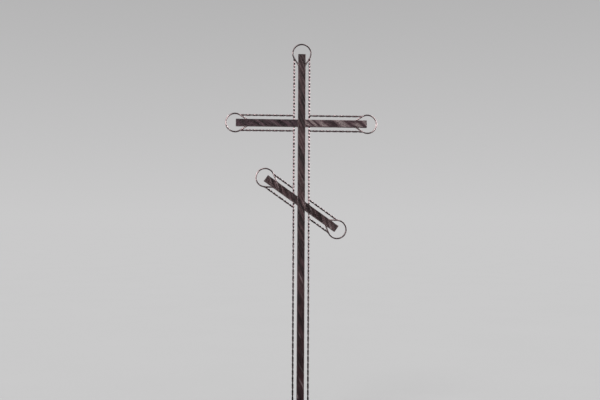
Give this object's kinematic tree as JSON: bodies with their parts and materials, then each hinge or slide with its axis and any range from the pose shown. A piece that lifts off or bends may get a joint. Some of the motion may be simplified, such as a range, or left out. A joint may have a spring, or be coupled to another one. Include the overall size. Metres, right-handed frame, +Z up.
{
  "type": "wrought iron cross",
  "caption": "Tall slender Orthodox grave cross of dark forged flat bar, edged with twisted rods, with open rings at the bar ends and a slanted footrest bar.",
  "frame": {"origin": "middle of the post's foot, where the cross is cut off flat at ground level", "axes": "+Z up the post, +X to the right of a viewer in front, front facing -Y"},
  "size_m": [0.8, 0.02, 2],
  "materials": {
    "bar_iron": "dark brown-black metal paint over hammered forged bar, satin, edges and high strokes rubbed to a warm pewter brown",
    "ring_iron": "dark brown-black metal paint, half gloss, with a coppery rub on the outer side",
    "rod_iron": "dark brown-black metal paint, glossy, with coppery rubbed corners along the twist"
  },
  "bodies": {
    "root": {"post": "bar_iron", "arm_left": "bar_iron", "arm_right": "bar_iron", "footrest_left": "bar_iron", "footrest_right": "bar_iron", "post_ring": "ring_iron", "arm_left_ring": "ring_iron", "arm_right_ring": "ring_iron", "footrest_left_ring": "ring_iron", "footrest_right_ring": "ring_iron", "post_rod_upper_left": "rod_iron", "post_rod_upper_right": "rod_iron", "post_rod_middle_left": "rod_iron", "post_rod_middle_right": "rod_iron", "post_rod_lower_left": "rod_iron", "post_rod_lower_right": "rod_iron", "arm_left_rod_upper": "rod_iron", "arm_left_rod_lower": "rod_iron", "arm_right_rod_upper": "rod_iron", "arm_right_rod_lower": "rod_iron", "footrest_left_rod_upper": "rod_iron", "footrest_left_rod_lower": "rod_iron", "footrest_right_rod_upper": "rod_iron", "footrest_right_rod_lower": "rod_iron"}
  },
  "joints": []
}
